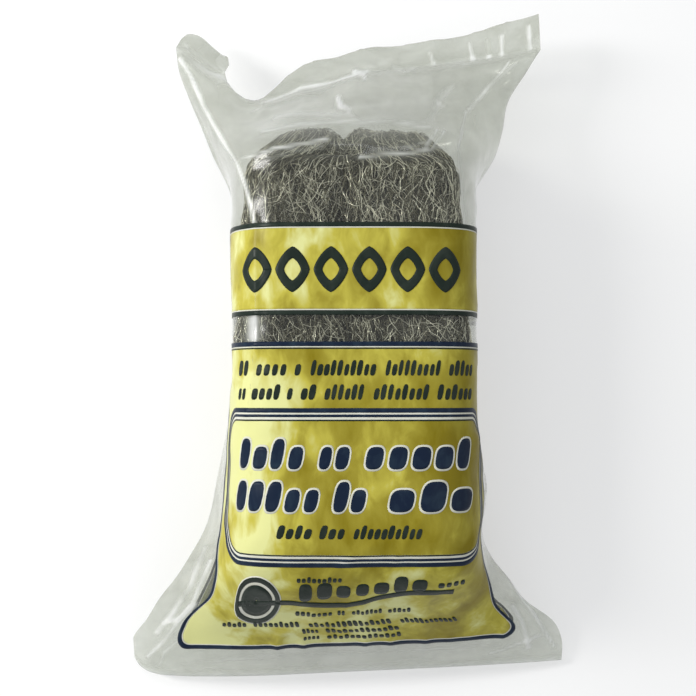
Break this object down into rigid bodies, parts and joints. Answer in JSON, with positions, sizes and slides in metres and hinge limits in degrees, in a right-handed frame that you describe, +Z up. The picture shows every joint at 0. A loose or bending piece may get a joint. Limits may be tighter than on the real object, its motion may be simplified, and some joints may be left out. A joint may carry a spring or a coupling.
{
  "type": "steel wool bundle in a film bag",
  "caption": "Coarse steel wool hank, folded flat and sealed in a clear printed film bag with a notched lip, for scouring and stripping; lies on its back.",
  "frame": {"origin": "middle of the pack's footprint, on the surface it lies on", "axes": "+X to the pack's right seen from its printed front, +Y towards the sealed lip, +Z up out of the printed front"},
  "size_m": [0.2, 0.3008, 0.0859],
  "materials": {
    "clear_film": "clear, slightly milky polyethylene film, glossy",
    "steel_wool": "coarse curled steel strands with bright glints",
    "yellow_ink": "opaque yellow printing on the film",
    "navy_ink": "dark navy printing on the film"
  },
  "bodies": {
    "root": {"bag_film": "clear_film", "steel_wool": "steel_wool", "upper_panel_fill": "yellow_ink", "upper_panel_border": "navy_ink", "lower_panel_fill": "yellow_ink", "lower_panel_border": "navy_ink", "label_frame": "navy_ink"}
  },
  "joints": []
}
